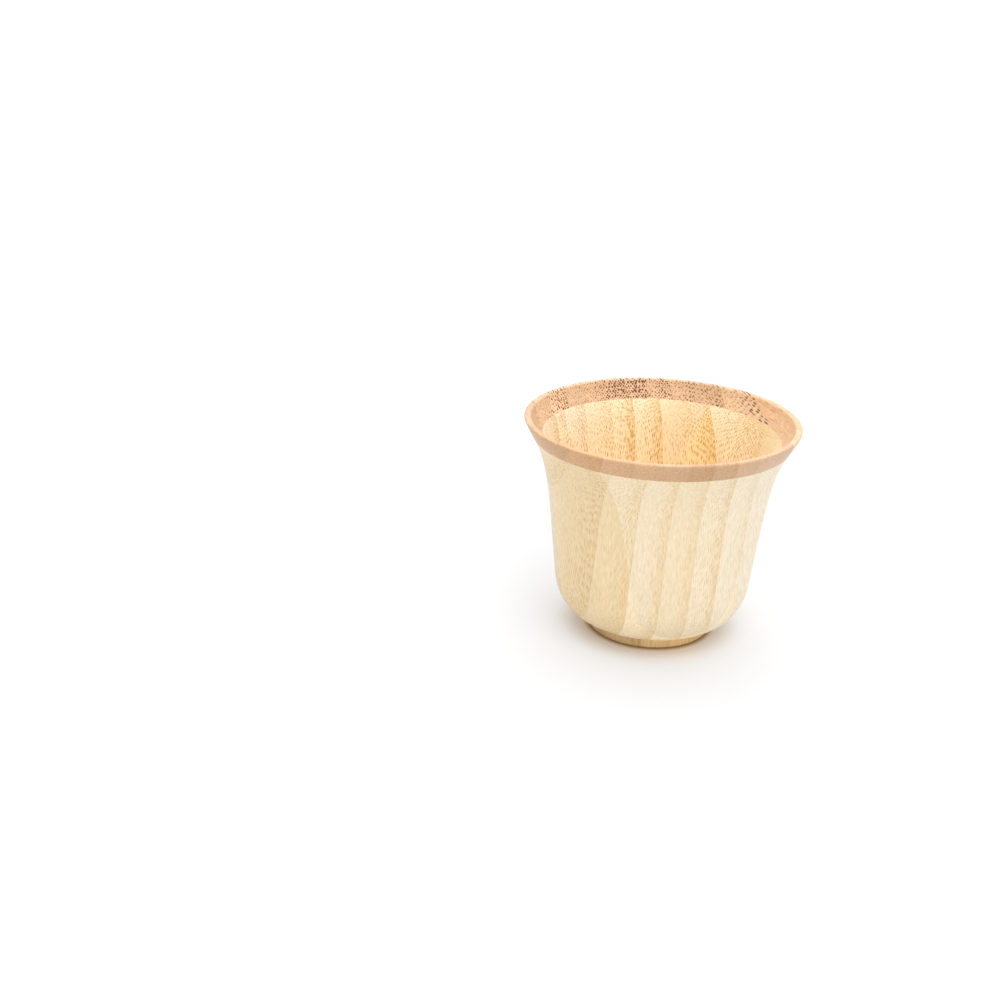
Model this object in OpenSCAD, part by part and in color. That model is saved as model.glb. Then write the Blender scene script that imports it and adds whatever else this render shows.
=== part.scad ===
// Small tea cup turned from laminated bamboo, with a rim ring of darker, steamed bamboo.
// Bamboo strips stand on edge and are glued into a block, a slab of thinner dark strips is glued on top,
// and the cup is turned from the two. Each strip that the turning leaves is a piece of its own, and it
// meets its neighbours face to face at flat glue joints.
// Origin: centre of the foot's lower face. +Z is up and the front of the cup faces -Y.

/* [Cup] */
// Outer diameter over the lip
mouth_d = 65; // [62:0.5:72]
// Height from the foot to the top of the lip
cup_h = 53.2; // [50:0.1:60]
// How far the lip stands out past the neck, where the wall starts to flare
lip_overhang = 7; // [4:0.1:9]
// Height of the neck
neck_h = 28.8; // [26:0.1:32]
// Height of the waist, where the round base meets the wall
waist_h = 12.8; // [11:0.1:15]
// Lean of the wall from the waist to the neck, in degrees from upright
wall_lean = 6.3; // [3:0.1:9]
// Lean of the wall at the lip, in degrees from upright
lip_lean = 23; // [20:1:40]

/* [Walls] */
// Thickness of the wall up to the neck
wall_t = 3; // [2.4:0.1:3.6]
// Thickness of the lip
lip_t = 1.6; // [1.4:0.1:2.2]
// Radius of the lip's outer edge
lip_outer_r = 0.4; // [0.2:0.1:0.5]
// Radius of the lip's inner edge
lip_inner_r = 0.7; // [0.3:0.1:0.8]
// Thickness of the floor above the foot
floor_t = 3; // [2.5:0.5:5]
// Radius of the inside corner between wall and floor
bowl_r = 8; // [5:0.5:11]

/* [Foot] */
// Diameter of the foot
foot_d = 30; // [27:0.5:33]
// Height of the foot
foot_h = 3.1; // [2.4:0.1:3.6]
// Width of the ring that the cup stands on
foot_ring_w = 4; // [3:0.5:6]
// Depth of the hollow inside the ring
foot_hollow_h = 1.2; // [0.8:0.1:1.8]
// Width of the worn edge round the foot
foot_edge = 0.3; // [0.2:0.1:0.5]
// Rise of the base just outside the foot, in degrees
base_rise = 1; // [0:1:20]

/* [Body strips] */
// Strips across the body, with the outermost two that the turning cuts down
strips_across = 10; // [8:2:10]
// Share of the thickness of those two that the turning leaves at the rim joint
edge_strip_share = 0.54; // [0.35:0.01:0.65]
// Share of the width of the front and back layers' strips that the turning leaves there
edge_layer_share = 0.54; // [0.45:0.01:0.6]
// How far the middle glue line lies in front of the axis
middle_line_shift = 0.9; // [0:0.1:1.5]
// Turn of the strips about the axis of the cup, in degrees
strip_turn = 15; // [0:1:30]

/* [Rim ring] */
// Height of the rim ring
rim_h = 4.3; // [3.5:0.1:6]
// Strips across the rim ring, with the outermost two that the turning cuts down
rim_strips_across = 12; // [10:1:12]
// Share of the thickness of those two that the turning leaves at the lip
rim_edge_strip_share = 0.8; // [0.5:0.01:0.9]

/* [Hidden] */
// Round surfaces and curves
round_fn = 96;
curve_steps = 7;
arc_steps = 5;
overrun = 1;

// Handles of the two curves, as shares of the widths and heights that they span
base_handle_shares = [0.55, 0.55];
flare_handle_shares = [0.74, 0.26];

// The wall thins over the flare with about this power of the way along it, so mostly near the lip, and
// eases into the lip's even thickness
thinning_power = 3;

// Thinnest strip that the turning leaves at an edge, as a share of a whole one
least_strip_share = 0.15;

// Radii and heights
mouth_r = mouth_d / 2;
neck_r = mouth_r - lip_overhang;
waist_r = neck_r - (neck_h - waist_h) * tan(wall_lean);
foot_r = foot_d / 2;
floor_z = foot_h + floor_t;
rim_z = cup_h - rim_h;
flare_h = cup_h - neck_h;

// Directions along the wall and the lip, as [outwards, up], and outwards square to them
function unit(v) = v / norm(v);
function square_to(along) = [along[1], -along[0]];
wall_dir = [sin(wall_lean), cos(wall_lean)];
lip_dir = [sin(lip_lean), cos(lip_lean)];
base_dir = [cos(base_rise), sin(base_rise)];

// Corners of the outline
foot_top = [foot_r, foot_h];
waist = [waist_r, waist_h];
neck = [neck_r, neck_h];

// The lip is cut off level and its two edges are rounded. The inner edge follows the wall's inner face,
// which lies the lip's thickness in from the outer one.
lip_outer_centre = [mouth_r - lip_outer_r, cup_h - lip_outer_r];
lip_outer = lip_outer_centre + lip_outer_r * square_to(lip_dir);
lip_inner_line = lip_outer[0] * lip_dir[1] - lip_outer[1] * lip_dir[0] - lip_t;
lip_inner_z = cup_h - lip_inner_r;
lip_inner_centre = [
    (lip_inner_line + lip_inner_r + lip_inner_z * lip_dir[0]) / lip_dir[1],
    lip_inner_z
];
lip_inner = lip_inner_centre - lip_inner_r * square_to(lip_dir);
lip_outer_sweep = 90 + lip_lean;
lip_inner_sweep = 90 - lip_lean;

// A cubic curve through four control points, its direction, and a curve set in by a wall that thins
// from one thickness to another
function along_curve(p, t) =
    pow(1 - t, 3) * p[0] + 3 * pow(1 - t, 2) * t * p[1] + 3 * (1 - t) * t * t * p[2] + pow(t, 3) * p[3];
function curve_dir(p, t) =
    unit(pow(1 - t, 2) * (p[1] - p[0]) + 2 * (1 - t) * t * (p[2] - p[1]) + t * t * (p[3] - p[2]));
function eased(t) = pow(t, thinning_power) * (thinning_power + 1 - thinning_power * t);
function thinned(t, from_t, to_t) = from_t + eased(t) * (to_t - from_t);
function set_in(p, t, from_t, to_t) =
    along_curve(p, t) - thinned(t, from_t, to_t) * square_to(curve_dir(p, t));

base_curve = [
    foot_top,
    foot_top + base_handle_shares[0] * (waist_r - foot_r) * base_dir,
    waist - base_handle_shares[1] * (waist_h - foot_h) * wall_dir,
    waist
];
flare_curve = [
    neck,
    neck + flare_handle_shares[0] * flare_h * wall_dir,
    lip_outer - flare_handle_shares[1] * flare_h * lip_dir,
    lip_outer
];

// Inside corner: its centre lies one radius in from the wall's inner face
inner_neck = neck - wall_t * square_to(wall_dir);
bowl_z = floor_z + bowl_r;
bowl_centre = [
    inner_neck[0] - (bowl_r + (inner_neck[1] - bowl_z) * wall_dir[0]) / wall_dir[1],
    bowl_z
];
bowl_sweep = 90 - wall_lean;

foot_points = [
    [0, foot_hollow_h],
    [foot_r - foot_ring_w, foot_hollow_h],
    [foot_r - foot_ring_w, 0],
    [foot_r - foot_edge, 0],
    [foot_r, foot_edge]
];
base_points = [for (i = [0 : curve_steps]) along_curve(base_curve, i / curve_steps)];
flare_points = [for (i = [0 : curve_steps]) along_curve(flare_curve, i / curve_steps)];
lip_outer_points = [
    for (i = [1 : arc_steps])
    let (a = lip_outer_sweep * i / arc_steps - lip_lean)
    lip_outer_centre + lip_outer_r * [cos(a), sin(a)]
];
lip_inner_points = [
    for (i = [0 : arc_steps])
    let (a = 90 + lip_inner_sweep * i / arc_steps)
    lip_inner_centre + lip_inner_r * [cos(a), sin(a)]
];
inner_flare_points = [
    for (i = [curve_steps - 1 : -1 : 0])
    let (p = set_in(flare_curve, i / curve_steps, wall_t, lip_t))
    if (p[1] < lip_inner[1]) p
];
bowl_points = [
    for (i = [0 : arc_steps])
    let (a = -wall_lean - bowl_sweep * i / arc_steps)
    bowl_centre + bowl_r * [cos(a), sin(a)]
];
outline = concat(
    foot_points, base_points, flare_points, lip_outer_points, lip_inner_points, inner_flare_points,
    bowl_points, [[0, floor_z]]
);

// Outer radius of the body where the rim ring sits on it
body_r = lookup(rim_z, [for (p = flare_points) [p[1], p[0]]]);
reach = mouth_r + overrun;

// Strips of the body and of the rim ring: thickness from joint to joint, and width of a body strip
strip_t = 2 * body_r / (strips_across - 2 + 2 * edge_strip_share);
strip_w = body_r / (1 + edge_layer_share);
rim_strip_t = mouth_d / (rim_strips_across - 2 + 2 * rim_edge_strip_share);

// Glue lines between the body's four layers, from front to back
middle_line = -middle_line_shift;
front_line = middle_line - strip_w;
back_line = middle_line + strip_w;

// Half the width of a round piece at a distance from its axis
function half_chord(r, distance) = sqrt(r * r - distance * distance);

// The strips of a layer, each as [name, from, to]. Its joints are given as distances to the left and
// to the right of the axis, nearest first, and the strips are numbered outwards. A joint is left out
// where the round outline, half_w on each side, leaves too thin a strip beyond it.
function joints_within(joints, half_w, least_t) = [for (x = joints) if (x < half_w - least_t) x];
function outer_end(joints, i) = i + 1 < len(joints) ? joints[i + 1] : reach;
function middle_strip(name, left, right) =
    left[0] + right[0] > 0 ? [[str(name, "_middle"), -left[0], right[0]]] : [];
function left_strips(name, joints) = [
    for (i = [0 : len(joints) - 1]) [str(name, "_left_", i + 1), -outer_end(joints, i), -joints[i]]
];
function right_strips(name, joints) = [
    for (i = [0 : len(joints) - 1]) [str(name, "_right_", i + 1), joints[i], outer_end(joints, i)]
];
function strips(name, left, right, half_w, whole_t) =
    let (least_t = least_strip_share * whole_t)
    concat(
        middle_strip(name, left, right),
        left_strips(name, joints_within(left, half_w, least_t)),
        right_strips(name, joints_within(right, half_w, least_t))
    );
function body_strips(name, left, right, line) =
    strips(name, left, right, half_chord(body_r, line), strip_t);
function rim_strips(name, left, right) = strips(name, left, right, mouth_r, rim_strip_t);

// Body joints are even in three layers, with one joint at the axis. In the back layer they lie about
// half a strip over and a little uneven, as shares of a strip's thickness. The two inner layers reach
// their full width at the axis.
axis_line = 0;
body_joints = [for (i = [0 : strips_across]) i * strip_t];
back_left_joint_shares = [0.5, 1.6, 2.55];
back_right_joint_shares = [0.4, 1.4, 2.4];
front_layer = body_strips("front_strip", body_joints, body_joints, front_line);
inner_front_layer = body_strips("inner_front_strip", body_joints, body_joints, axis_line);
inner_back_layer = body_strips("inner_back_strip", body_joints, body_joints, axis_line);
back_layer = body_strips(
    "back_strip", strip_t * back_left_joint_shares, strip_t * back_right_joint_shares, back_line
);

// Rim joints are even in front and a little uneven behind, as shares of a rim strip's thickness
rim_joints = [for (i = [0 : rim_strips_across]) i * rim_strip_t];
rim_left_joint_shares = [0.8, 1.8, 2.8, 3.8, 4.8];
rim_right_joint_shares = [0.25, 1.25, 2.25, 3.15, 4.15, 5.1];
rim_front_half = rim_strips("rim_front_strip", rim_joints, rim_joints);
rim_back_half = rim_strips(
    "rim_back_strip", rim_strip_t * rim_left_joint_shares, rim_strip_t * rim_right_joint_shares
);

// Bamboo colours: strips differ a little in tone, in a repeating order
pale_bamboo = [0.95, 0.87, 0.73];
steamed_bamboo = [0.84, 0.65, 0.49];
tone_shares = [1, 0.95, 0.98, 0.92, 0.97, 0.94, 0.99];
function tone(colour, i) = tone_shares[i % len(tone_shares)] * colour;

module cup_shape() {
    rotate_extrude($fn = round_fn)
        polygon(outline);
}

// What one strip holds of the cup, between two joints, two glue lines and two heights
module turned_strip(s, from_line, to_line, low_z, high_z) {
    intersection() {
        cup_shape();
        rotate([0, 0, strip_turn])
            translate([s[1], from_line, low_z])
                cube([s[2] - s[1], to_line - from_line, high_z - low_z]);
    }
}

module body_strip(s, from_line, to_line) {
    turned_strip(s, from_line, to_line, -overrun, rim_z);
}

module rim_strip(s, from_line, to_line) {
    turned_strip(s, from_line, to_line, rim_z, cup_h + overrun);
}

// Body strips in front of the foot
module front_strip(i) {
    color(tone(pale_bamboo, i))
        body_strip(front_layer[i], -reach, front_line);
}

// Body strips of the next layer, with the front half of the floor and foot
module inner_front_strip(i) {
    color(tone(pale_bamboo, i + 1))
        body_strip(inner_front_layer[i], front_line, middle_line);
}

// Body strips of the layer behind the middle line, with the back half of the floor and foot
module inner_back_strip(i) {
    color(tone(pale_bamboo, i + 2))
        body_strip(inner_back_layer[i], middle_line, back_line);
}

// Body strips behind the foot
module back_strip(i) {
    color(tone(pale_bamboo, i + 3))
        body_strip(back_layer[i], back_line, reach);
}

// Rim strips of the front half
module rim_front_strip(i) {
    color(tone(steamed_bamboo, i))
        rim_strip(rim_front_half[i], -reach, axis_line);
}

// Rim strips of the back half
module rim_back_strip(i) {
    color(tone(steamed_bamboo, i + 2))
        rim_strip(rim_back_half[i], axis_line, reach);
}

for (i = [0 : len(front_layer) - 1])
    front_strip(i);
for (i = [0 : len(inner_front_layer) - 1])
    inner_front_strip(i);
for (i = [0 : len(inner_back_layer) - 1])
    inner_back_strip(i);
for (i = [0 : len(back_layer) - 1])
    back_strip(i);
for (i = [0 : len(rim_front_half) - 1])
    rim_front_strip(i);
for (i = [0 : len(rim_back_half) - 1])
    rim_back_strip(i);
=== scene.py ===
import math
import random

import bpy
import numpy as np
from mathutils import Matrix, Vector


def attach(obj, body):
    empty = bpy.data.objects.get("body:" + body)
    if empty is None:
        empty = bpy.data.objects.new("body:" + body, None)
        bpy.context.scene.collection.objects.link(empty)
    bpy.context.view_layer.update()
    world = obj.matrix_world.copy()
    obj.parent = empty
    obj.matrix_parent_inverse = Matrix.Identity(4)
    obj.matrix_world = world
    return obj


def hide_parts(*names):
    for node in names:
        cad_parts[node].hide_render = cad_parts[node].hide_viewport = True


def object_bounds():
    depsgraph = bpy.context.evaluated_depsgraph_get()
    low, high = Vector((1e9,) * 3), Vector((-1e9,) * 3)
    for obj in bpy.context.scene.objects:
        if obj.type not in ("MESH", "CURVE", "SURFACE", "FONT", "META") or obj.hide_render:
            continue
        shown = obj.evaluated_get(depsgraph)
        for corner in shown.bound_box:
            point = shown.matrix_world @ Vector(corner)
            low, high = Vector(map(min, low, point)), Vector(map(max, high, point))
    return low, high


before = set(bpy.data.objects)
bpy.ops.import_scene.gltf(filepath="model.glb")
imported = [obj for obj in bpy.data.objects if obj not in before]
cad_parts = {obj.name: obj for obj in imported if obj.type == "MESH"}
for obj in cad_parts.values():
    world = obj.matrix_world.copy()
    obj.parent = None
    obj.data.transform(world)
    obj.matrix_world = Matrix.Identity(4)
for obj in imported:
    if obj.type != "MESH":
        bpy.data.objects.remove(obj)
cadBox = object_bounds()
print("frame loaded:", len(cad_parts), "strips")

mm = 0.001                      # the cup is shaped in millimetres and brought to metres at the end
blockTurn = math.radians(15)    # how the glued block stood in the lathe, seen from the front


def deselectAll():
    if bpy.context.object and bpy.context.object.mode != "OBJECT":
        bpy.ops.object.mode_set(mode="OBJECT")
    bpy.ops.object.select_all(action="DESELECT")


def pick(piece):
    deselectAll()
    piece.select_set(True)
    bpy.context.view_layer.objects.active = piece


# Turned form: the same curves as the solids follow, in finer steps
turning = {
    "lipOverhang": 7.0,             # how far the lip reaches out past the neck
    "neckHeight": 28.8,
    "waistHeight": 12.8,
    "wallLean": math.radians(6.3),
    "lipLean": math.radians(23),
    "wall": 3.0,
    "lip": 1.6,                     # the wall's thickness at the lip
    "lipOuterEdge": 0.4,
    "lipInnerEdge": 0.7,
    "thinningPower": 3,
    "floor": 3.0,
    "bowlRadius": 8.0,
    "footRadius": 15.0,
    "footHeight": 3.1,
    "footRing": 4.0,
    "footHollow": 1.2,
    "footEdge": 0.3,
    "baseRise": math.radians(1),
    "baseHandles": (0.55, 0.55),    # shares of the base's breadth and of its height
    "flareHandles": (0.74, 0.26),   # shares of the flare's height
    "curveSteps": 24,
    "arcSteps": 12,
    "ringStep": 1.2,
    "spinSteps": 288,
    "mergeWithin": 0.0005,
}


def leaning(angle):
    return Vector((math.sin(angle), math.cos(angle)))


def outwardsFrom(along):
    return Vector((along.y, -along.x))


def onCurve(p, t):
    return (1 - t) ** 3 * p[0] + 3 * (1 - t) ** 2 * t * p[1] + 3 * (1 - t) * t * t * p[2] + t ** 3 * p[3]


def curveDirection(p, t):
    along = (1 - t) ** 2 * (p[1] - p[0]) + 2 * (1 - t) * t * (p[2] - p[1]) + t * t * (p[3] - p[2])
    return along.normalized()


def straight(start, end, step):
    count = max(1, round((end - start).length / step))
    return [start.lerp(end, i / count) for i in range(1, count + 1)]


def arc(centre, radius, start, end, steps):
    angles = [start + (end - start) * i / steps for i in range(steps + 1)]
    return [centre + radius * Vector((math.cos(a), math.sin(a))) for a in angles]


def lipCentres(given, mouthRadius, cupHeight):
    # the lip's top is level, and its two rounded edges run into the leaning wall on either side
    outerEdge, innerEdge = given["lipOuterEdge"], given["lipInnerEdge"]
    along = leaning(given["lipLean"])
    across = outwardsFrom(along)
    outerCentre = Vector((mouthRadius - outerEdge, cupHeight - outerEdge))
    innerLine = (outerCentre + outerEdge * across).dot(across) - given["lip"] + innerEdge
    innerHeight = cupHeight - innerEdge
    innerCentre = Vector(((innerLine + innerHeight * along.x) / along.y, innerHeight))
    return outerCentre, innerCentre


def footOutline(given):
    # from the axis outwards: hollow, ring and its worn edge
    footRadius = given["footRadius"]
    hollowRadius = footRadius - given["footRing"]
    points = [Vector((0, given["footHollow"]))]
    points += straight(points[-1], Vector((hollowRadius, given["footHollow"])), given["ringStep"])
    points += [Vector((hollowRadius, 0)), Vector((footRadius - given["footEdge"], 0))]
    points += [Vector((footRadius, given["footEdge"])), Vector((footRadius, given["footHeight"]))]
    return points


def insideOutline(given, flare, shares, lipFoot):
    # from under the lip down: flare, wall, round corner and floor
    power = given["thinningPower"]
    points = []
    for t in reversed([0] + shares[:-1]):
        thinning = t ** power * (power + 1 - power * t)
        thickness = given["wall"] + thinning * (given["lip"] - given["wall"])
        point = onCurve(flare, t) - thickness * outwardsFrom(curveDirection(flare, t))
        if point.y < lipFoot:
            points.append(point)
    innerNeck = points[-1]
    wallAlong = leaning(given["wallLean"])
    floorHeight = given["footHeight"] + given["floor"]
    bowlHeight = floorHeight + given["bowlRadius"]
    reach = given["bowlRadius"] + (innerNeck.y - bowlHeight) * wallAlong.x
    bowlCentre = Vector((innerNeck.x - reach / wallAlong.y, bowlHeight))
    corner = arc(bowlCentre, given["bowlRadius"], -given["wallLean"], -math.pi / 2, given["arcSteps"])
    points += straight(innerNeck, corner[0], given["ringStep"])
    points += corner[1:]
    points += straight(corner[-1], Vector((0, floorHeight)), given["ringStep"])
    return points


def cupOutline(given, mouthRadius, cupHeight):
    neckRadius = mouthRadius - given["lipOverhang"]
    waistRadius = neckRadius - (given["neckHeight"] - given["waistHeight"]) * math.tan(given["wallLean"])
    wallAlong, lipAlong = leaning(given["wallLean"]), leaning(given["lipLean"])
    outerEdge, innerEdge = given["lipOuterEdge"], given["lipInnerEdge"]
    outerCentre, innerCentre = lipCentres(given, mouthRadius, cupHeight)
    lipOuter = outerCentre + outerEdge * outwardsFrom(lipAlong)
    lipInner = innerCentre - innerEdge * outwardsFrom(lipAlong)
    foot = footOutline(given)
    waist = Vector((waistRadius, given["waistHeight"]))
    neck = Vector((neckRadius, given["neckHeight"]))
    baseHandle = given["baseHandles"][0] * (waistRadius - given["footRadius"])
    waistHandle = given["baseHandles"][1] * (given["waistHeight"] - given["footHeight"])
    flareHeight = cupHeight - given["neckHeight"]
    base = [
        foot[-1],
        foot[-1] + baseHandle * leaning(math.pi / 2 - given["baseRise"]),
        waist - waistHandle * wallAlong,
        waist,
    ]
    flare = [
        neck,
        neck + given["flareHandles"][0] * flareHeight * wallAlong,
        lipOuter - given["flareHandles"][1] * flareHeight * lipAlong,
        lipOuter,
    ]
    steps = given["curveSteps"]
    shares = [i / steps for i in range(1, steps + 1)]

    # up the outside, over the lip and down the inside
    points = foot + [onCurve(base, t) for t in shares]
    points += straight(waist, neck, given["ringStep"])
    points += [onCurve(flare, t) for t in shares]
    points += arc(outerCentre, outerEdge, -given["lipLean"], math.pi / 2, given["arcSteps"])[1:]
    points += arc(innerCentre, innerEdge, math.pi / 2, math.pi - given["lipLean"], given["arcSteps"])
    points += insideOutline(given, flare, shares, lipInner.y)
    return points


def turnCup(given):
    outline = cupOutline(given, cadBox[1].x / mm, cadBox[1].z / mm)
    deselectAll()
    bpy.ops.mesh.primitive_plane_add(size=1, location=(outline[0].x, 0, outline[0].y))
    bpy.ops.object.transform_apply(location=True, rotation=True, scale=True)
    turned = bpy.context.object
    turned.name = "turnedCup"
    bpy.ops.object.mode_set(mode="EDIT")
    bpy.ops.mesh.merge(type="CENTER")
    for here, there in zip(outline, outline[1:]):
        along = there - here
        bpy.ops.mesh.extrude_region_move(TRANSFORM_OT_translate={"value": (along.x, 0, along.y)})
    bpy.ops.mesh.select_all(action="SELECT")
    bpy.ops.mesh.spin(steps=given["spinSteps"], angle=2 * math.pi, center=(0, 0, 0), axis=(0, 0, 1))
    bpy.ops.mesh.select_all(action="SELECT")
    bpy.ops.mesh.remove_doubles(threshold=given["mergeWithin"])
    bpy.ops.mesh.normals_make_consistent(inside=False)
    bpy.ops.object.mode_set(mode="OBJECT")
    print("turned:", len(outline), "points in the outline,", len(turned.data.vertices), "in the shell")
    return turned


# The glued block: joints and glue lines are read from the solids, in the block's own directions
acrossStrips, alongStrips, upwards = (1, 0, 0), (0, 1, 0), (0, 0, 1)
sawTolerance = 0.0001


def blockBox(node):
    points = np.array([v.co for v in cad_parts[node].data.vertices]) / mm
    across = points[:, 0] * math.cos(blockTurn) + points[:, 1] * math.sin(blockTurn)
    along = points[:, 1] * math.cos(blockTurn) - points[:, 0] * math.sin(blockTurn)
    placed = np.stack([across, along, points[:, 2]], axis=1)
    return Vector(placed.min(axis=0)), Vector(placed.max(axis=0))


def stripsOf(layer):
    boxes = {name: blockBox(name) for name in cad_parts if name.startswith(layer)}
    return sorted(boxes.items(), key=lambda pair: pair[1][0].x)


def slab(piece, name, low=None, high=None, direction=upwards):
    part = piece.copy()
    part.data = piece.data.copy()
    part.name = name
    part.data.name = name
    bpy.context.scene.collection.objects.link(part)
    pick(part)
    bpy.ops.object.mode_set(mode="EDIT")
    direction = Vector(direction)
    for place, below in ((low, True), (high, False)):
        if place is None:
            continue
        bpy.ops.mesh.select_all(action="SELECT")
        bpy.ops.mesh.bisect(
            plane_co=direction * place, plane_no=direction, use_fill=True, threshold=sawTolerance,
            clear_inner=below, clear_outer=not below,
        )
    bpy.ops.object.mode_set(mode="OBJECT")
    return part


def discard(piece):
    bpy.data.objects.remove(piece)


def keepPlace(piece, left, right, layerStart, fibresLevel):
    # the share from the left joint, then millimetres across the fibres and along them
    points = np.zeros(len(piece.data.vertices) * 3)
    piece.data.vertices.foreach_get("co", points)
    points = points.reshape(-1, 3)
    points[:, 0] = (points[:, 0] - left) / (right - left)
    points[:, 1] -= layerStart
    if fibresLevel:
        points[:, [1, 2]] = points[:, [2, 1]]
    placeInStrip = piece.data.attributes.new("placeInStrip", "FLOAT_VECTOR", "POINT")
    placeInStrip.data.foreach_set("vector", points.ravel())


def sawLayer(slabPiece, layer, layerStart):
    # the outermost strips are cut by the turning, so they take the others' mean thickness
    strips = stripsOf(layer)
    joints = [box[1].x for _, box in strips[:-1]]
    thickness = (joints[-1] - joints[0]) / (len(joints) - 1)
    pieces = []
    for i, (name, _) in enumerate(strips):
        low = joints[i - 1] if i else None
        high = joints[i] if i < len(joints) else None
        piece = slab(slabPiece, name + "_wood", low, high, acrossStrips)
        left = low if low is not None else high - thickness
        right = high if high is not None else low + thickness
        piece["node"] = name
        keepPlace(piece, left, right, layerStart, fibresLevel=layer.startswith("rim"))
        pieces.append(piece)
    discard(slabPiece)
    return pieces


def sawCup(turned):
    innerFront = [box for _, box in stripsOf("inner_front_strip")]
    innerBack = [box for _, box in stripsOf("inner_back_strip")]
    frontLine = min(box[0].y for box in innerFront)
    middleLine = max(box[1].y for box in innerFront)
    backLine = max(box[1].y for box in innerBack)
    rimJoint = min(box[0].z for _, box in stripsOf("rim_front_strip"))
    rimLine = 0     # the rim ring has one glue line, through the axis
    layerWidth = middleLine - frontLine
    body = slab(turned, "body", high=rimJoint)
    rim = slab(turned, "rim", low=rimJoint)
    cuts = [
        (body, "front_strip", None, frontLine, frontLine - layerWidth),
        (body, "inner_front_strip", frontLine, middleLine, frontLine),
        (body, "inner_back_strip", middleLine, backLine, middleLine),
        (body, "back_strip", backLine, None, backLine),
        (rim, "rim_front_strip", None, rimLine, rimLine),
        (rim, "rim_back_strip", rimLine, None, rimLine),
    ]
    pieces = []
    for source, layer, low, high, start in cuts:
        layerPiece = slab(source, layer + "_layer", low, high, alongStrips)
        pieces += sawLayer(layerPiece, layer, start)
    for source in (body, rim, turned):
        discard(source)
    glueLines = [round(line, 2) for line in (frontLine, middleLine, backLine)]
    print("sawn:", len(pieces), "strips; glue lines at", glueLines)
    return pieces


# How the strips differ: tone of the whole strip, warmth (its share of the ochre colour), how far the side
# under the cane's skin turns ochre, and how strongly the pores show. Tone and warmth are partly the strips'
# own colour and
# partly painted light: the strips on the right of the front wall are whiter, with no warmth, a painted
# sheen, and those on its left warmer, partly painted shade
stripLooks = {
    "front_strip_left_4": (1.13, 0.35, 0.15, 0.35),
    "front_strip_left_3": (1.13, 0.29, 0.22, 0.45),
    "front_strip_left_2": (1.1, 0.22, 0.37, 0.3),
    "front_strip_left_1": (1.09, 0.33, 0.22, 0.25),
    "front_strip_right_1": (1.09, 0.18, 0.31, 0.5),
    # no warmth on the right of the front wall: whiter, a painted sheen
    "front_strip_right_2": (1.06, 0.0, 0.25, 0.35),
    "front_strip_right_3": (1.04, 0.0, 0.12, 0.45),
    "front_strip_right_4": (1.04, 0.0, 0.12, 0.45),
    "inner_front_strip_left_5": (1.1, 0.52, 0.19, 0.7),
    "inner_front_strip_left_4": (1.07, 0.66, 0.08, 0.6),
    "inner_front_strip_left_3": (1.1, 0.61, 0.18, 0.3),
    "inner_front_strip_left_2": (1.2, 0.33, 0.43, 0.5),
    "inner_front_strip_left_1": (1.38, 0.35, 0.31, 0.4),
    "inner_front_strip_right_1": (1.45, 0.5, 0.37, 0.4),
    # no warmth on the right of the outer wall: whiter, a painted sheen
    "inner_front_strip_right_2": (1.16, 0.0, 0.25, 0.3),
    "inner_front_strip_right_3": (1.05, 0.0, 0.06, 0.5),
    "inner_front_strip_right_4": (1.07, 0.4, 0.19, 0.4),
    "inner_front_strip_right_5": (1.01, 0.85, 0.19, 0.3),
    "inner_back_strip_left_5": (0.95, 0.26, 0.19, 0.5),
    "inner_back_strip_left_4": (0.97, 0.14, 0.25, 1.1),
    "inner_back_strip_left_3": (1.06, 0.2, 0.56, 1.4),
    "inner_back_strip_right_3": (1.25, 0.75, 0.37, 1.3),
    "inner_back_strip_right_4": (1.17, 0.34, 0.28, 1.35),
    "inner_back_strip_right_5": (1.0, 0.9, 0.19, 0.9),
    "back_strip_left_3": (1.02, 0.1, 0.25, 1.15),
    "back_strip_left_2": (1.06, 0.0, 0.19, 1.2),
    "back_strip_left_1": (1.09, 0.28, 0.15, 1.0),
    "back_strip_middle": (1.16, 0.34, 0.5, 1.45),
    "back_strip_right_1": (1.15, 0.39, 0.46, 1.25),
    "back_strip_right_2": (1.11, 0.45, 0.19, 0.9),
    "back_strip_right_3": (1.06, 0.42, 0.56, 1.5),
    "rim_front_strip_left_6": (0.98, 0.82, 0.1, 0.15),
    "rim_front_strip_left_5": (1.08, 0.99, 0.1, 0.2),
    "rim_front_strip_left_4": (1.05, 0.59, 0.1, 0.2),
    "rim_front_strip_left_3": (1.02, 0.45, 0.1, 0.2),
    "rim_front_strip_left_2": (0.96, 0.4, 0.1, 0.2),
    "rim_front_strip_left_1": (0.92, 0.72, 0.1, 0.25),
    "rim_front_strip_right_1": (0.92, 0.45, 0.1, 0.25),
    "rim_front_strip_right_2": (0.94, 0.19, 0.1, 0.2),
    "rim_front_strip_right_3": (0.93, 0.07, 0.1, 0.2),
    "rim_front_strip_right_4": (0.86, 0.03, 0.05, 0.2),
    "rim_front_strip_right_5": (1.04, 0.02, 0.0, 0.35),
    "rim_front_strip_right_6": (1.09, 0.47, 0.15, 0.25),
    "rim_back_strip_left_5": (0.9, 0.26, 0.05, 0.35),
    "rim_back_strip_left_4": (1.05, 0.27, 0.05, 0.8),
    "rim_back_strip_left_3": (1.17, 0.0, 0.0, 2.0),
    "rim_back_strip_left_2": (1.0, 0.0, 0.0, 0.8),
    "rim_back_strip_left_1": (1.05, 0.15, 0.1, 1.3),
    "rim_back_strip_middle": (1.1, 0.22, 0.1, 2.8),
    "rim_back_strip_right_1": (1.08, 0.1, 0.1, 3.0),
    "rim_back_strip_right_2": (1.08, 0.22, 0.1, 1.7),
    "rim_back_strip_right_3": (1.08, 0.25, 0.1, 1.3),
    "rim_back_strip_right_4": (1.0, 0.22, 0.1, 1.35),
    "rim_back_strip_right_5": (1.11, 0.08, 0.1, 1.1),
    "rim_back_strip_right_6": (1.13, 0.5, 0.15, 0.45),
}

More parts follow.
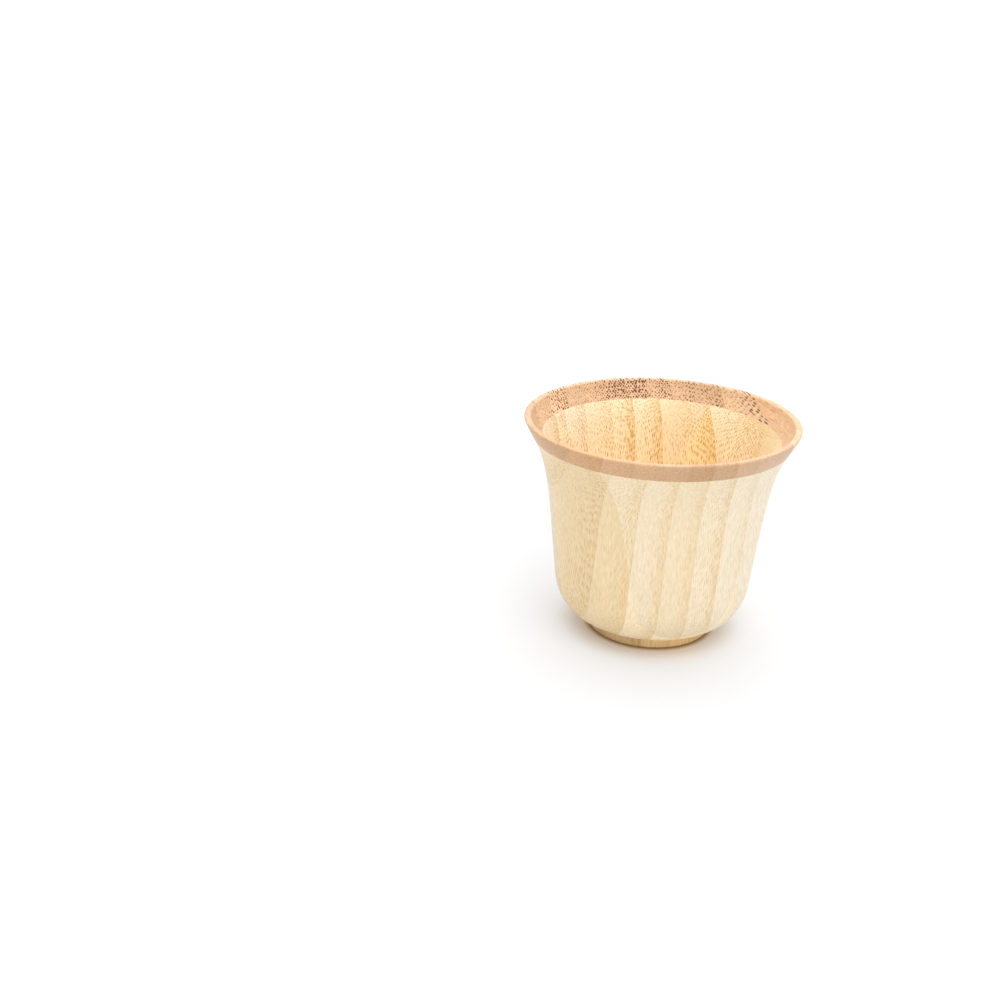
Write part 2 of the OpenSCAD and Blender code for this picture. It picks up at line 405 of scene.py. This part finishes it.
# The strips with no line above don't show in the photograph, and vary as strips ordinarily do
hiddenLook = {"tone": (0.97, 1.03), "warmth": (0.3, 0.5), "ochre": (0.2, 0.5), "pores": (0.6, 0.9)}
hiddenSeed = 7
seedStep = 1.7                      # sets each strip's figure apart from the next one's
smoothUpTo = math.radians(30)


def mark(piece, name, values):
    attribute = piece.data.attributes.new(name, "FLOAT_VECTOR", "POINT")
    attribute.data.foreach_set("vector", np.tile(values, len(piece.data.vertices)))


def finishStrips(pieces):
    luck = random.Random(hiddenSeed)
    for number, piece in enumerate(pieces):
        name = piece["node"]
        look = [luck.uniform(*reach) for reach in hiddenLook.values()]
        tone, warmth, ochre, pores = stripLooks.get(name, look)
        mark(piece, "stripTone", (tone, warmth, ochre))
        mark(piece, "stripPores", (pores, number * seedStep, 0.0))
        piece.rotation_euler = (0, 0, blockTurn)
        piece.scale = (mm, mm, mm)
        pick(piece)
        bpy.ops.object.transform_apply(location=True, rotation=True, scale=True)
        bpy.ops.object.shade_smooth_by_angle(angle=smoothUpTo)
        rimPiece = name.startswith("rim")
        piece.data.materials.clear()
        piece.data.materials.append(steamedBamboo if rimPiece else paleBamboo)
        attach(piece, "root")
        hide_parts(name)


# Node helpers. A Mix node has sockets of one name for each kind of value, so those for colours go by number.
mixColourA, mixColourB, mixColourResult = 6, 7, 2


def plug(tree, value, socket):
    if isinstance(value, bpy.types.NodeSocket):
        tree.links.new(value, socket)
    else:
        socket.default_value = value


def put(tree, kind, inputs=None, **settings):
    node = tree.nodes.new(kind)
    for name, value in settings.items():
        setattr(node, name, value)
    for name, value in (inputs or {}).items():
        plug(tree, value, node.inputs[name])
    return node


def calc(tree, operation, *values, clamp=False):
    node = put(tree, "ShaderNodeMath", operation=operation, use_clamp=clamp)
    for socket, value in zip(node.inputs, values):
        plug(tree, value, socket)
    return node.outputs[0]


def product(tree, *values):
    result = values[0]
    for value in values[1:]:
        result = calc(tree, "MULTIPLY", result, value)
    return result


def ramp(tree, value, low, high, to=(0, 1)):
    inputs = {"Value": value, "From Min": low, "From Max": high, "To Min": to[0], "To Max": to[1]}
    return put(tree, "ShaderNodeMapRange", inputs, interpolation_type="SMOOTHSTEP").outputs["Result"]


def separate(tree, place):
    return put(tree, "ShaderNodeSeparateXYZ", {"Vector": place}).outputs


def vector(tree, x, y, z):
    return put(tree, "ShaderNodeCombineXYZ", {"X": x, "Y": y, "Z": z}).outputs["Vector"]


def distance(tree, place):
    return put(tree, "ShaderNodeVectorMath", {"Vector": place}, operation="LENGTH").outputs["Value"]


def blendColour(tree, share, a, b, how="MIX"):
    node = put(tree, "ShaderNodeMix", data_type="RGBA", blend_type=how)
    plug(tree, share, node.inputs["Factor"])
    plug(tree, a, node.inputs[mixColourA])
    plug(tree, b, node.inputs[mixColourB])
    return node.outputs[mixColourResult]


def ownAttribute(tree, name):
    return separate(tree, put(tree, "ShaderNodeAttribute", attribute_name=name).outputs["Vector"])


def newGroup(name, inputs, outputs):
    tree = bpy.data.node_groups.new(name, "ShaderNodeTree")
    for label, kind, value in inputs:
        tree.interface.new_socket(label, in_out="INPUT", socket_type=kind).default_value = value
    for label, kind in outputs:
        tree.interface.new_socket(label, in_out="OUTPUT", socket_type=kind)
    return tree, tree.nodes.new("NodeGroupInput").outputs, tree.nodes.new("NodeGroupOutput").inputs


# Bamboo as it grew: fibre bundles run through each strip, sparse and pale on the side that faced the
# hollow of the cane, crowded and ochre on the side under its skin. Lengths are in millimetres.
growth = {
    # noises: fineness across the fibres, fineness along them, detail
    "swayNoise": (0.12, 0.05, 1.0),
    "fibreNoise": (2.6, 0.2, 3.0),
    "streakNoise": (1.7, 0.035, 2.0),
    "lineNoise": (3.6, 0.03, 1.0),
    "speckleNoise": (2.2, 0.5, 1.0),
    "cloudNoise": (0.35, 0.03, 2.0),
    # bundles, which show as pores where they are cut; edges are in pore radii
    "seedSpread": 31.0,
    "swayReach": 0.8,
    "scatter": 0.4,
    "stagger": (0.37, 0.61),
    "poreSizes": (0.75, 1.2),
    "poreSwell": 0.3,
    "poreEdge": (1.15, 0.7),
    "sheathEdge": (2.4, 0.8),
    "poreDepths": (0.6, 1.0),
    "deepPoresFrom": 0.7,
    "pithSide": (0.1, 0.95),
    "pithDepths": (0.6, 1.0),
    # colour, from the pith side of a strip at 0 to the skin side at 1
    "streakEdge": (0.33, 0.68),
    "streakLevels": (0.5, 1.5),
    "lineEdge": (0.54, 0.68),
    "lineSide": (0.45, 0.95),
    "lineStrength": 0.4,
    "speckleWarmth": 2.5,
    "cloudStrength": 0.035,
    "ochreFrom": (0.5, 1.02),
    "ochreWander": 0.25,
    "ochreTone": 0.08,
    "footSide": (3.3, 2.9),
    "glueFilm": 0.09,
    "glueTone": 0.93,
    # surface
    "lacquer": 0.2,
    "lacquerRoughness": 0.3,
    "gloss": 0.3,
    "roughness": 0.4,
    "poreRoughness": 0.15,
    "fibreRelief": 0.3,
    "reliefStrength": 0.35,
    "reliefDepth": 0.06,
}
diagonal = math.sqrt(0.5)


def noise(tree, place, given, output="Fac"):
    fineness, rise, detail = given
    across, along, height = place
    across, along = calc(tree, "MULTIPLY", across, fineness), calc(tree, "MULTIPLY", along, fineness)
    stretched = vector(tree, across, along, calc(tree, "MULTIPLY", height, rise))
    inputs = {"Vector": stretched, "Scale": 1.0, "Detail": detail}
    return put(tree, "ShaderNodeTexNoise", inputs).outputs[output]


def swing(tree, value):
    # a noise value from 0 to 1 as a swing from -1 to 1
    return calc(tree, "MULTIPLY_ADD", value, 2.0, -1.0)


def around(tree, value, strength):
    # a noise value as a factor that swings about one
    return calc(tree, "MULTIPLY_ADD", swing(tree, value), strength, 1.0)


def swayBundles(tree, place):
    # bundles wander a little on their way up
    across, along, height = place
    sway = separate(tree, noise(tree, place, growth["swayNoise"], "Color"))
    across = calc(tree, "MULTIPLY_ADD", swing(tree, sway[0]), growth["swayReach"], across)
    along = calc(tree, "MULTIPLY_ADD", swing(tree, sway[1]), growth["swayReach"], along)
    return across, along, height


def liftOf(tree, p, q):
    # neighbouring bundles start at different heights
    stagger = growth["stagger"]
    return calc(tree, "MULTIPLY_ADD", p, stagger[0], calc(tree, "MULTIPLY", q, stagger[1]))


def drawPores(tree, place, share, pores, given):
    # short bundles in a diagonal pattern, whose rows draw together towards the skin side: u and v count
    # spacings across the strip and the layer, p and q count them along the pattern's diagonals
    across, along, height = place
    crowd = calc(tree, "MULTIPLY_ADD", given["Crowding"], share, 1.0)
    u = calc(tree, "DIVIDE", calc(tree, "MULTIPLY", across, crowd), given["Bundle Spacing"])
    v = calc(tree, "DIVIDE", along, given["Bundle Spacing"])
    p = calc(tree, "MULTIPLY", calc(tree, "ADD", u, v), diagonal)
    q = calc(tree, "MULTIPLY", calc(tree, "SUBTRACT", u, v), diagonal)
    rise = calc(tree, "DIVIDE", height, given["Bundle Length"])
    lifted = vector(tree, p, q, calc(tree, "ADD", rise, liftOf(tree, p, q)))
    inputs = {"Vector": lifted, "Scale": 1.0, "Randomness": growth["scatter"]}
    cells = put(tree, "ShaderNodeTexVoronoi", inputs)
    centre = separate(tree, cells.outputs["Position"])
    chance = put(tree, "ShaderNodeSeparateColor", {"Color": cells.outputs["Color"]}).outputs

    # how far this point lies from its bundle, in millimetres and then in pore radii and half lengths
    dp = calc(tree, "SUBTRACT", centre[0], p)
    dq = calc(tree, "SUBTRACT", centre[1], q)
    centreRise = calc(tree, "SUBTRACT", centre[2], liftOf(tree, centre[0], centre[1]))
    dRise = calc(tree, "SUBTRACT", centreRise, rise)
    du = product(tree, calc(tree, "ADD", dp, dq), diagonal, given["Bundle Spacing"])
    dv = product(tree, calc(tree, "SUBTRACT", dp, dq), diagonal, given["Bundle Spacing"])
    closeness = calc(tree, "MULTIPLY_ADD", product(tree, given["Crowding"], share), 2.0, 1.0)
    swell = calc(tree, "POWER", calc(tree, "MAXIMUM", pores, 1.0), growth["poreSwell"])
    chosen = ramp(tree, chance["Red"], 0.0, 1.0, growth["poreSizes"])
    size = product(tree, given["Pore Radius"], swell, chosen)
    sideways = distance(tree, vector(tree, calc(tree, "DIVIDE", du, closeness), dv, 0.0))
    wide = calc(tree, "DIVIDE", sideways, size)
    longways = calc(tree, "DIVIDE", product(tree, dRise, given["Bundle Length"], 2.0), given["Pore Length"])
    far = distance(tree, vector(tree, wide, longways, 0.0))
    pore = ramp(tree, far, *growth["poreEdge"])
    sheath = ramp(tree, far, *growth["sheathEdge"])
    depth = ramp(tree, chance["Green"], 0.0, growth["deepPoresFrom"], growth["poreDepths"])
    return pore, sheath, depth


def drawWood(tree, place, share, fibre, looks, given):
    # the ground between the pores: speckles, streaks, slow clouds, the ochre side and the glue lines
    height = place[2]
    tone, warmth, ochre = looks
    speckle = noise(tree, place, growth["speckleNoise"])
    streak = noise(tree, place, growth["streakNoise"])
    cloud = noise(tree, place, growth["cloudNoise"])
    # below the foot's top edge the wood is drawn warmer and darker, and its fibres show more
    footSide = ramp(tree, height, *growth["footSide"])

    # how much of the skin's colour shows
    wandered = calc(tree, "MULTIPLY_ADD", swing(tree, cloud), growth["ochreWander"], share)
    skinSide = ramp(tree, wandered, *growth["ochreFrom"])
    streaked = ramp(tree, streak, *growth["streakEdge"], growth["streakLevels"])
    ochred = product(tree, skinSide, ochre, streaked)
    warmed = calc(tree, "MULTIPLY_ADD", footSide, given["Foot Warmth"], warmth)
    speckled = product(tree, swing(tree, speckle), given["Speckle Strength"], growth["speckleWarmth"])
    warmed = calc(tree, "SUBTRACT", warmed, speckled)
    ground = blendColour(tree, calc(tree, "ADD", ochred, warmed), given["Pith Colour"], given["Skin Colour"])

    # how light it is
    darkened = calc(tree, "MULTIPLY_ADD", ochred, -growth["ochreTone"], 1.0)
    toJoint = calc(tree, "MINIMUM", share, calc(tree, "SUBTRACT", 1.0, share))
    glue = ramp(tree, calc(tree, "MULTIPLY", toJoint, given["Strip Thickness"]), growth["glueFilm"], 0.0,
                (1.0, growth["glueTone"]))
    fibreSwing = calc(tree, "MULTIPLY", given["Fibre Strength"],
                      calc(tree, "MULTIPLY_ADD", footSide, given["Foot Warmth"], 1.0))
    light = product(tree, around(tree, fibre, fibreSwing), around(tree, speckle, given["Speckle Strength"]),
                    around(tree, cloud, growth["cloudStrength"]), glue, darkened, tone)
    return blendColour(tree, 1.0, ground, vector(tree, light, light, light), "MULTIPLY")


def makeBambooGroup():
    tree, given, result = newGroup("bambooFigure", [
        ("Pith Colour", "NodeSocketColor", (0.8, 0.7, 0.5, 1)),
        ("Skin Colour", "NodeSocketColor", (0.7, 0.5, 0.3, 1)),
        ("Pore Colour", "NodeSocketColor", (0.3, 0.15, 0.05, 1)),
        ("Strip Thickness", "NodeSocketFloat", 6.8),
        ("Bundle Spacing", "NodeSocketFloat", 0.7),
        ("Bundle Length", "NodeSocketFloat", 2.4),
        ("Crowding", "NodeSocketFloat", 0.35),
        ("Pore Radius", "NodeSocketFloat", 0.13),
        ("Pore Length", "NodeSocketFloat", 1.5),
        ("Pore Strength", "NodeSocketFloat", 0.6),
        ("Sheath Share", "NodeSocketFloat", 0.2),
        ("Fibre Strength", "NodeSocketFloat", 0.08),
        ("Speckle Strength", "NodeSocketFloat", 0.05),
        ("Foot Warmth", "NodeSocketFloat", 0.0),
    ], [
        ("Color", "NodeSocketColor"),
        ("Roughness", "NodeSocketFloat"),
        ("Coat", "NodeSocketFloat"),
        ("Height", "NodeSocketFloat"),
    ])
    share, along, height = ownAttribute(tree, "placeInStrip")[0:3]
    tone, warmth, ochre = ownAttribute(tree, "stripTone")[0:3]
    pores, seed = ownAttribute(tree, "stripPores")[0:2]
    across = calc(tree, "MULTIPLY", share, given["Strip Thickness"])
    along = calc(tree, "MULTIPLY_ADD", seed, growth["seedSpread"], along)
    place = swayBundles(tree, (across, along, height))
    fibre = noise(tree, place, growth["fibreNoise"])
    wood = drawWood(tree, place, share, fibre, (tone, warmth, ochre), given)
    pore, sheath, depth = drawPores(tree, place, share, pores, given)

    # pores in their softer sheaths, and long dark lines on the skin side
    pithDepth = ramp(tree, share, *growth["pithSide"], growth["pithDepths"])
    strength = product(tree, given["Pore Strength"], pores, depth, pithDepth)
    dots = calc(tree, "ADD", product(tree, sheath, given["Sheath Share"]),
                product(tree, pore, calc(tree, "SUBTRACT", 1.0, given["Sheath Share"])))
    line = ramp(tree, noise(tree, place, growth["lineNoise"]), *growth["lineEdge"])
    lineSide = ramp(tree, share, *growth["lineSide"])
    lines = product(tree, line, lineSide, ochre, given["Pore Strength"], growth["lineStrength"])
    stained = calc(tree, "MULTIPLY_ADD", dots, strength, lines, clamp=True)
    plug(tree, blendColour(tree, stained, wood, given["Pore Colour"]), result["Color"])

    # an open pore is rougher, takes the lacquer in and lies a little deeper
    roughness = calc(tree, "MULTIPLY_ADD", pore, growth["poreRoughness"], growth["roughness"])
    plug(tree, roughness, result["Roughness"])
    dry = calc(tree, "MULTIPLY", pore, strength, clamp=True)
    plug(tree, calc(tree, "MULTIPLY_ADD", dry, -growth["lacquer"], growth["lacquer"]), result["Coat"])
    dents = calc(tree, "SUBTRACT", calc(tree, "MULTIPLY", fibre, growth["fibreRelief"]),
                 calc(tree, "MULTIPLY", pore, strength))
    plug(tree, dents, result["Height"])
    return tree


bambooFigure = makeBambooGroup()

paleWood = {
    "Pith Colour": (0.86, 0.745, 0.55, 1),
    "Skin Colour": (0.80, 0.58, 0.285, 1),
    "Pore Colour": (0.56, 0.3, 0.06, 1),
    "Strip Thickness": 6.7,
    "Bundle Spacing": 0.42,
    "Bundle Length": 2.5,
    "Crowding": 0.3,
    "Pore Radius": 0.115,
    "Pore Length": 2.2,
    "Pore Strength": 1.0,
    "Sheath Share": 0.25,
    "Fibre Strength": 0.12,
    "Speckle Strength": 0.06,
    "Foot Warmth": 0.5,
}
steamedWood = {
    "Pith Colour": (0.74, 0.48, 0.285, 1),
    "Skin Colour": (0.62, 0.352, 0.162, 1),
    "Pore Colour": (0.15, 0.033, 0.003, 1),
    "Strip Thickness": 5.6,
    "Bundle Spacing": 0.6,
    "Bundle Length": 7.0,
    "Crowding": 0.15,
    "Pore Radius": 0.17,
    "Pore Length": 7.0,
    "Pore Strength": 0.95,
    "Sheath Share": 0.06,
    "Fibre Strength": 0.15,
    "Speckle Strength": 0.11,
}


def makeBamboo(name, values):
    material = bpy.data.materials.new(name)
    material.use_nodes = True
    tree = material.node_tree
    shader = tree.nodes["Principled BSDF"]
    figure = put(tree, "ShaderNodeGroup", node_tree=bambooFigure)
    for label, value in values.items():
        figure.inputs[label].default_value = value
    relief = {"Strength": growth["reliefStrength"], "Distance": growth["reliefDepth"] * mm}
    bump = put(tree, "ShaderNodeBump", {"Height": figure.outputs["Height"], **relief})
    plug(tree, figure.outputs["Color"], shader.inputs["Base Color"])
    plug(tree, figure.outputs["Roughness"], shader.inputs["Roughness"])
    plug(tree, bump.outputs["Normal"], shader.inputs["Normal"])
    plug(tree, figure.outputs["Coat"], shader.inputs["Coat Weight"])
    shader.inputs["Specular IOR Level"].default_value = growth["gloss"]
    shader.inputs["Coat Roughness"].default_value = growth["lacquerRoughness"]
    return material


paleBamboo = makeBamboo("paleBamboo", paleWood)
steamedBamboo = makeBamboo("steamedBamboo", steamedWood)
print("materials made")

finishStrips(sawCup(turnCup(turning)))
print("strips finished")

# Studio: a paper floor that runs far back, with painted shade far behind and a painted warm bounce and
# contact shadow round the foot, broad light from five sides, and one soft sun
studio = {
    "floorSize": 16.0,
    "paper": (0.74, 0.75, 0.775, 1),
    "paperRoughness": 0.9,
    "shadedFarPaper": (0.67, 0.69, 0.74, 1),
    "paperShadeFades": (0.3, 1.4),               # painted shade: from so far behind the cup the paper darkens and cools, and is half darkened so much further
    "paintedWarmBounce": (0.024, 0.013),             # rings round the foot where a painted warm bounce from the bamboo tints the paper
    "paintedBounceColour": (1.0, 0.87, 0.72, 1),
    "paintedContactShadow": (0.0166, 0.0149),            # rings where a painted contact shadow darkens the paper close to the foot
    "paintedShadowColour": (0.5, 0.36, 0.2, 1),
    "ownLight": 0.15,
    "airSides": {
        "above": ((0, 0, 1), 1.5),
        "behind": ((0, 0.98, 0.2), 1.24),
        "left": ((-0.96, 0, 0.28), 0.26),
        "right": ((0.96, 0, 0.28), 0.31),
        "front": ((0, -0.93, 0.37), 0.07),
    },
    "airBreadth": 1.5,
    "sunPlace": (0.15, -0.6, 0.8),
    "sunAngle": math.radians(50),
    "sunStrength": 1.0,
}


def makeFloor(given):
    deselectAll()
    bpy.ops.mesh.primitive_plane_add(size=given["floorSize"])
    floor = bpy.context.object
    floor.name = "paperFloor"
    material = bpy.data.materials.new("paper")
    material.use_nodes = True
    tree = material.node_tree
    shader = tree.nodes["Principled BSDF"]
    shader.inputs["Roughness"].default_value = given["paperRoughness"]
    shader.inputs["Specular IOR Level"].default_value = 0.0
    place = put(tree, "ShaderNodeTexCoord").outputs["Object"]
    # painted shade: the paper turns darker and cooler far behind the cup
    behind = calc(tree, "SUBTRACT", separate(tree, place)[1], given["paperShadeFades"][0])
    behind = calc(tree, "MAXIMUM", behind, 0.0)
    farShade = calc(tree, "DIVIDE", behind, calc(tree, "ADD", behind, given["paperShadeFades"][1]))
    away = distance(tree, place)
    # painted warm bounce light from the bamboo, in a ring round the foot
    paintedBounce = ramp(tree, away, *given["paintedWarmBounce"])
    # painted contact shadow, close round the foot
    paintedContactShadow = ramp(tree, away, *given["paintedContactShadow"])
    colour = blendColour(tree, farShade, given["paper"], given["shadedFarPaper"])
    colour = blendColour(tree, paintedBounce, colour, given["paintedBounceColour"], "MULTIPLY")
    colour = blendColour(tree, paintedContactShadow, colour, given["paintedShadowColour"], "MULTIPLY")
    plug(tree, colour, shader.inputs["Base Color"])

    # to the camera the paper also shines a little, which lightens the shadow on it; the shine carries the
    # painted warm bounce and the painted contact shadow
    shine = blendColour(tree, paintedBounce, (1, 1, 1, 1), given["paintedBounceColour"])
    shine = blendColour(tree, paintedContactShadow, shine, given["paintedShadowColour"], "MULTIPLY")
    glow = put(tree, "ShaderNodeEmission", {"Color": shine, "Strength": 1.0})
    cameraRay = put(tree, "ShaderNodeLightPath").outputs["Is Camera Ray"]
    seen = calc(tree, "MULTIPLY", cameraRay, given["ownLight"])
    both = put(tree, "ShaderNodeMixShader", {"Fac": seen})
    plug(tree, shader.outputs["BSDF"], both.inputs[1])
    plug(tree, glow.outputs["Emission"], both.inputs[2])
    plug(tree, both.outputs["Shader"], tree.nodes["Material Output"].inputs["Surface"])
    floor.data.materials.append(material)


def makeLight(given):
    world = bpy.data.worlds.new("studioAir")
    bpy.context.scene.world = world
    world.use_nodes = True
    tree = world.node_tree
    air = tree.nodes["Background"]
    air.inputs["Color"].default_value = (1, 1, 1, 1)
    direction = put(tree, "ShaderNodeTexCoord").outputs["Generated"]
    strength = 0.0
    for towards, level in given["airSides"].values():
        facing = put(tree, "ShaderNodeVectorMath", operation="DOT_PRODUCT")
        plug(tree, direction, facing.inputs[0])
        plug(tree, towards, facing.inputs[1])
        lobe = calc(tree, "POWER", calc(tree, "MAXIMUM", facing.outputs["Value"], 0.0), given["airBreadth"])
        strength = calc(tree, "MULTIPLY_ADD", lobe, level, strength)
    plug(tree, strength, air.inputs["Strength"])
    bpy.ops.object.light_add(type="SUN", location=given["sunPlace"])
    sun = bpy.context.object
    sun.name = "softSun"
    sun.data.angle = given["sunAngle"]
    sun.data.energy = given["sunStrength"]
    sun.rotation_euler = (-Vector(given["sunPlace"])).to_track_quat("-Z", "Y").to_euler()


makeFloor(studio)
makeLight(studio)
print("studio set up")

# Camera, placed where the photograph was taken from
cameraView = {
    "place": (-0.0377, -0.30658, 0.15557),
    "downward": math.radians(22.07),
    "roll": math.radians(1.48),
    "lens": 49.36,
    "sensor": 36.0,
    "nearest": 0.01,
    "farthest": 50,
}


def makeCamera(given):
    bpy.ops.object.camera_add()
    camera = bpy.context.object
    camera.name = "camera"
    aim = Matrix.Rotation(math.pi / 2 - given["downward"], 4, "X") @ Matrix.Rotation(given["roll"], 4, "Z")
    camera.matrix_world = Matrix.Translation(given["place"]) @ aim
    camera.data.lens = given["lens"]
    camera.data.sensor_width = given["sensor"]
    camera.data.clip_start = given["nearest"]
    camera.data.clip_end = given["farthest"]
    bpy.context.scene.camera = camera


makeCamera(cameraView)
bpy.context.scene.view_settings.view_transform = "Standard"
print("camera placed")
